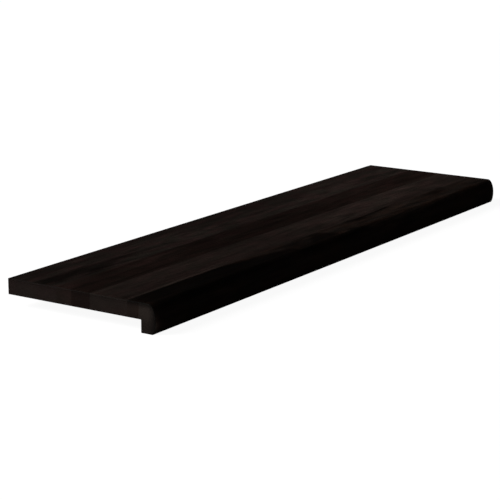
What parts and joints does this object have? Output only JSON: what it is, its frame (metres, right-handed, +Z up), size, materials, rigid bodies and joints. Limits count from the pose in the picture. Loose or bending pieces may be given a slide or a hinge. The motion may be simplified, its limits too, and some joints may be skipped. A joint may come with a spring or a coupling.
{
  "type": "stair tread",
  "caption": "Stair tread of edge-glued solid wood staves, stained almost black, with a thicker rounded nosing that drops below the board along the front.",
  "frame": {"origin": "under the middle of the tread, level with the bottom of the nosing", "axes": "+X along the tread, +Y from the nosing to the back edge, +Z up out of the walking surface"},
  "size_m": [1.1176, 0.2794, 0.0454],
  "materials": {
    "nosing_wood": "satin, stained near black",
    "fourth_stave_wood": "satin, stained near black",
    "third_stave_wood": "satin, stained near black",
    "second_stave_wood": "satin, stained near black",
    "back_stave_wood": "satin, stained near black"
  },
  "bodies": {
    "root": {"nosing": "nosing_wood", "fourth_stave": "fourth_stave_wood", "third_stave": "third_stave_wood", "second_stave": "second_stave_wood", "back_stave": "back_stave_wood"}
  },
  "joints": []
}
